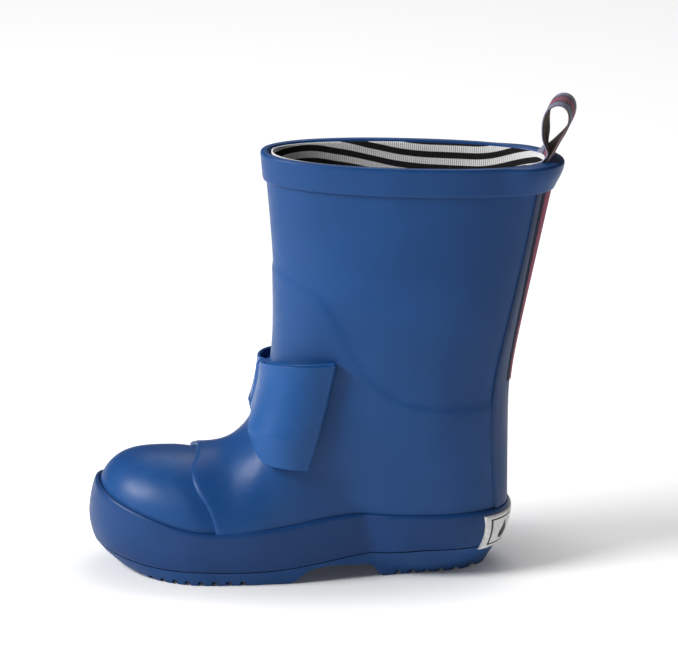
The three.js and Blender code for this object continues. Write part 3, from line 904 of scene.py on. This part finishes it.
def bow_wing(name, node, side):
    steps = fine(60)
    outs = np.linspace(0, 1, steps)
    fold = np.linspace(0, math.pi, 13)[1:-1]
    rows = fine(60)
    ups = 0.5 - 0.5 * np.cos(np.linspace(0, math.pi, rows))
    outer, inner = [], []
    for up in ups:
        back = np.full(steps, 0.45)
        front = front_stand_off(outs, up) + BOW_SHEET
        outer.append(wing_line(outs, back, front, 0.035 * np.sin(fold), fold, up, side))
        back = back + BOW_SHEET
        front = np.maximum(front - BOW_SHEET, back + 0.3)
        inner.append(wing_line(outs * 0.965, back, front, 0.02 * np.sin(fold), fold, up, side))
    outer, inner = np.array(outer), np.array(inner)
    count = outer.shape[1]
    centre = (outer + inner) / 2
    lift = [0, 0, 0.35]  # the cut edges are rounded over by this much
    top = [mix(face[-1], centre[-1], 0.55) + lift for face in (outer, inner)]
    bottom = [mix(face[0], centre[0], 0.55) - lift for face in (inner, outer)]
    grid = np.concatenate([outer, top, inner[::-1], bottom])
    obj = mesh_object(name, grid, grid_faces(len(grid), count, True, True, flip=side > 0))
    finish_piece(obj, "bow", [node])


def wing_line(outs, back, front, bulge, fold, up, side):
    """One level of the wing's sheet: out along the back, round the fold, home along the front."""
    middle, half = (front[-1] + back[-1]) / 2, (front[-1] - back[-1]) / 2
    out = np.concatenate([outs, outs[-1] + bulge, outs[::-1]])
    away = np.concatenate([back, middle - half * np.cos(fold), front[::-1]])
    points, normals = bow_points(out, np.full(out.shape, up), side)
    return points + normals * away[:, None]


def bow_knot():
    rows, columns = fine(60), fine(40)
    share = np.linspace(-1, 1, columns)[None]
    rise = np.linspace(0, 1, rows)[:, None]
    z = mix(64.3, 85.3, rise)
    pinch = 3.2 + 0.7 * (2 * rise - 1) ** 2
    y = share * pinch
    start = np.stack([np.full((rows, columns), BOW_AXIS), y, z + 0 * y], -1)
    points = cast(start, np.broadcast_to(np.array([1.0, 0, 0]), start.shape))
    edge = np.minimum((1 - np.abs(share)) * pinch, np.minimum(rise, 1 - rise) * 21)
    height = 3.0 + 2.2 * step(64, 84, z)
    fold = 0.35 * np.cos(share * math.pi * 2.5) * step(0, 2, edge)
    outer = offset(points, rounded(edge, 2.2, height) + fold)
    inner = offset(points, np.full(edge.shape, -0.4))
    grid, faces = slab_patch(outer, inner, flip=True)
    obj = mesh_object("bow_middle", grid, faces)
    finish_piece(obj, "bow", ["bow_knot"])


# ------------------------------------------------------------------ pull loop

LOOP_BASE = (-14.9, rim_height(-14.9) + 0.6)
LOOP_TOP = (-21.4, 193.6)
RIBBON_HALF = 10.5
LOOP_TWIST = math.radians(11)  # the free part of the loop is turned a little about its own height


def loop_path():
    """Side-view centre line of the ribbon, from its inner tail over the top to its outer tail."""
    base, top = np.array(LOOP_BASE), np.array(LOOP_TOP)
    lean = top - base
    length = np.linalg.norm(lean)
    along = lean / length
    sideways = np.array([along[1], -along[0]])
    t = np.linspace(0.16, 1, 40) * math.pi
    inset = 0.5
    half = []
    for angle in t:
        height = inset + (length - 2 * inset) * (0.5 - 0.5 * math.cos(angle))
        width = 5.5 * math.sin(angle) * (0.5 - 0.5 * math.cos(angle)) ** 0.75 * 1.32
        half.append((height, width))
    front = [base + along * h + sideways * w for h, w in half]
    back = [base + along * h - sideways * w for h, w in half[:-1]][::-1]
    inner_tail = [(leg_back(z) + 2.55, z) for z in (142, 148, 154, 160, 165)]
    inner_tail.append((LOOP_BASE[0] + 1.0, 168.6))
    outer_tail = [(LOOP_BASE[0] - 0.9, 169.3)]
    outer_tail += [(leg_back(z) - away, z) for z, away in ((167.5, 1.9), (164, 1.8), (160, 1.3))]
    return np.array(inner_tail + front + back + outer_tail)


def resample(path, count):
    step_length = np.linalg.norm(np.diff(path, axis=0), axis=1)
    s = np.concatenate([[0], step_length.cumsum()])
    t = np.linspace(0, s[-1], count)
    return np.stack([np.interp(t, s, path[:, k]) for k in range(path.shape[1])], 1), t


def pull_loop():
    path, along = resample(loop_path(), fine(200))
    for _ in range(6):
        path[1:-1] = (path[:-2] + 2 * path[1:-1] + path[2:]) / 4
    tangent = np.gradient(path, axis=0)
    tangent /= np.linalg.norm(tangent, axis=1, keepdims=True)
    normal = np.stack([tangent[:, 1], -tangent[:, 0]], 1)
    columns = fine(26)
    across = np.linspace(-1, 1, columns)
    outer, inner = [], []
    edge = rounded((1 - np.abs(across)) * RIBBON_HALF, 0.5, 0.5)
    level = np.full(columns, 162.0)
    back_curve = back_points(across * RIBBON_HALF, level)[:, 0] - back_points(0 * across, level)[:, 0]
    for sign, rows in ((1, outer), (-1, inner)):
        for (x, z), (nx, nz) in zip(path, normal):
            twist = LOOP_TWIST * step(LOOP_BASE[1], LOOP_BASE[1] + 10, z)
            sway = across * RIBBON_HALF * math.tan(twist)
            sway = sway + back_curve * (1 - step(LOOP_BASE[1] - 3, LOOP_BASE[1] + 4, z))
            level_x = x + nx * sign * edge + sway
            rows.append(np.stack([level_x, across * RIBBON_HALF, z + nz * sign * edge], 1))
    outer, inner = np.array(outer), np.array(inner)
    grid, faces = slab_patch(outer, inner)
    wide = np.repeat(across[None], len(path), 0)
    long = np.repeat(along[:, None], columns, 1)
    faces_in = [np.zeros(wide.shape), np.ones(wide.shape)]
    marks = {"across": np.stack([wide, wide]), "along": np.stack([long, long]), "inside": np.stack(faces_in)}
    obj = mesh_object("ribbon_loop", grid, faces, marks)
    finish_piece(obj, "ribbon", ["pull_loop", "ribbon_tail_inside", "ribbon_tail_outside"], None)
    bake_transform(obj)


# ------------------------------------------------------------------ parts kept from the CAD frame


def fibreboard(name, dark, pale):
    """Pressed board with a speckled, slightly fibrous face."""
    n = Nodes(name, Specular_IOR_Level=0.2)
    fibre = n.ramp(n.noise(700.0, 4.0, 0.7), 0.3, 0.7)
    n.colour(n.mix(fibre, (*dark, 1), (*pale, 1)))
    n.rough(n.math("ADD", n.math("MULTIPLY", fibre, 0.12), 0.8))
    n.bump(fibre, 0.3, 0.0004)
    return n.material


def felt():
    """The footbed's top cloth: short grey pile, mottled."""
    n = Nodes("footbed_felt", Roughness=0.95, Sheen_Weight=0.3)
    mottle = n.ramp(n.noise(320.0, 4.0, 0.65), 0.25, 0.75)
    n.colour(n.mix(mottle, (0.10, 0.10, 0.11, 1), (0.24, 0.24, 0.25, 1)))
    n.bump(n.math("ADD", mottle, n.noise(1500.0, 3.0)), 0.5, 0.0005)
    return n.material


def filler_rubber():
    """Grey microcellular filler with fine pores."""
    n = Nodes("filler_rubber", Roughness=0.9)
    pores = n.ramp(n.add("TexVoronoi", Scale=900.0, Vector=n.object_space()).outputs[0], 0.05, 0.35)
    n.colour(n.mix(pores, (0.03, 0.03, 0.035, 1), (0.11, 0.11, 0.12, 1)))
    n.bump(pores, 0.4, 0.0004)
    return n.material


def kept_parts():
    """The hidden stiffeners and the footbed keep their CAD shapes and get their own materials."""
    stiffener = fibreboard("stiffener_board", (0.30, 0.25, 0.18), (0.46, 0.40, 0.30))
    board = fibreboard("insole_fibreboard", (0.22, 0.15, 0.09), (0.38, 0.28, 0.18))
    looks = {
        "heel_counter": stiffener, "toe_puff": stiffener, "insole_board": board,
        "midsole_filler": filler_rubber(), "footbed": felt(),
    }
    for name, material in looks.items():
        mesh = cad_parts[name].data
        mesh.materials.clear()
        mesh.materials.append(material)


# ------------------------------------------------------------------ light, floor, camera


def studio():
    scene = bpy.context.scene
    world = bpy.data.worlds.new("studio")
    world.use_nodes = True
    world.node_tree.nodes["Background"].inputs[0].default_value = (0.95, 0.96, 1.0, 1)
    world.node_tree.nodes["Background"].inputs[1].default_value = 0.09
    scene.world = world
    scene.view_settings.view_transform = "Standard"
    size = 4.0
    me = bpy.data.meshes.new("floor")
    corners = [(-size, -size, 0), (size, -size, 0), (size, size, 0), (-size, size, 0)]
    me.from_pydata(corners, [], [(0, 1, 2, 3)])
    floor = bpy.data.objects.new("floor", me)
    scene.collection.objects.link(floor)
    n = Nodes("floor_paper", Roughness=0.9, Emission_Color=(1, 1, 1, 1))
    # The paper glows faintly so that it reads white, and glows less where the boot stands on it: a painted
    # contact shadow.
    spot = n.add("SeparateXYZ", i0=n.object_space())
    beside = n.math("SUBTRACT", spot.outputs[0], 0.015)
    far_x = n.math("POWER", n.math("DIVIDE", beside, 0.105), 2.0)
    far_y = n.math("POWER", n.math("DIVIDE", spot.outputs[1], 0.055), 2.0)
    away = n.math("SQRT", n.math("ADD", far_x, far_y))
    glow = n.math("ADD", n.math("MULTIPLY", n.ramp(away, 0.55, 1.45), 0.42), 0.03)
    n.set(n.shader.inputs["Emission Strength"], glow)
    n.colour(n.mix(n.noise(3.0), (0.86, 0.86, 0.855, 1), (0.89, 0.89, 0.885, 1)))
    me.materials.append(n.material)
    lamp("key", (1.15, 0.42, 0.9), 0.75, 27.0)
    lamp("fill", (1.0, 1.3, 0.3), 0.8, 0.3)
    lamp("back", (-0.1, -0.9, 1.2), 1.0, 5.0)


def lamp(name, position, size, power):
    light = bpy.data.lights.new(name, "AREA")
    light.shape, light.size, light.energy = "DISK", size, power
    obj = bpy.data.objects.new(name, light)
    obj.location = position
    obj.rotation_euler = (Vector((0, 0, 0.08)) - Vector(position)).to_track_quat("-Z", "Y").to_euler()
    bpy.context.scene.collection.objects.link(obj)


def camera():
    turn, rise, distance = math.pi + math.radians(-2.0), math.radians(16.0), 2.4
    aim = Vector(place([(69.0, 0, 96.5)])[0])
    back = Vector((math.sin(turn) * math.cos(rise), -math.cos(turn) * math.cos(rise), math.sin(rise)))
    data = bpy.data.cameras.new("camera")
    data.lens = 36.0 * 2.47 * 2400 / 678
    obj = bpy.data.objects.new("camera", data)
    obj.location = aim + back * distance
    obj.rotation_euler = (-back).to_track_quat("-Z", "Y").to_euler()
    bpy.context.scene.collection.objects.link(obj)
    bpy.context.scene.camera = obj


rubber_wall()
toe_cap()
collar()
lining()
band()
sole()
strip()
back_ribbon()
heel_label()
bow_wing("bow_near", "bow_wing_outer", 1)
bow_wing("bow_far", "bow_wing_inner", -1)
bow_knot()
pull_loop()
kept_parts()
studio()
camera()
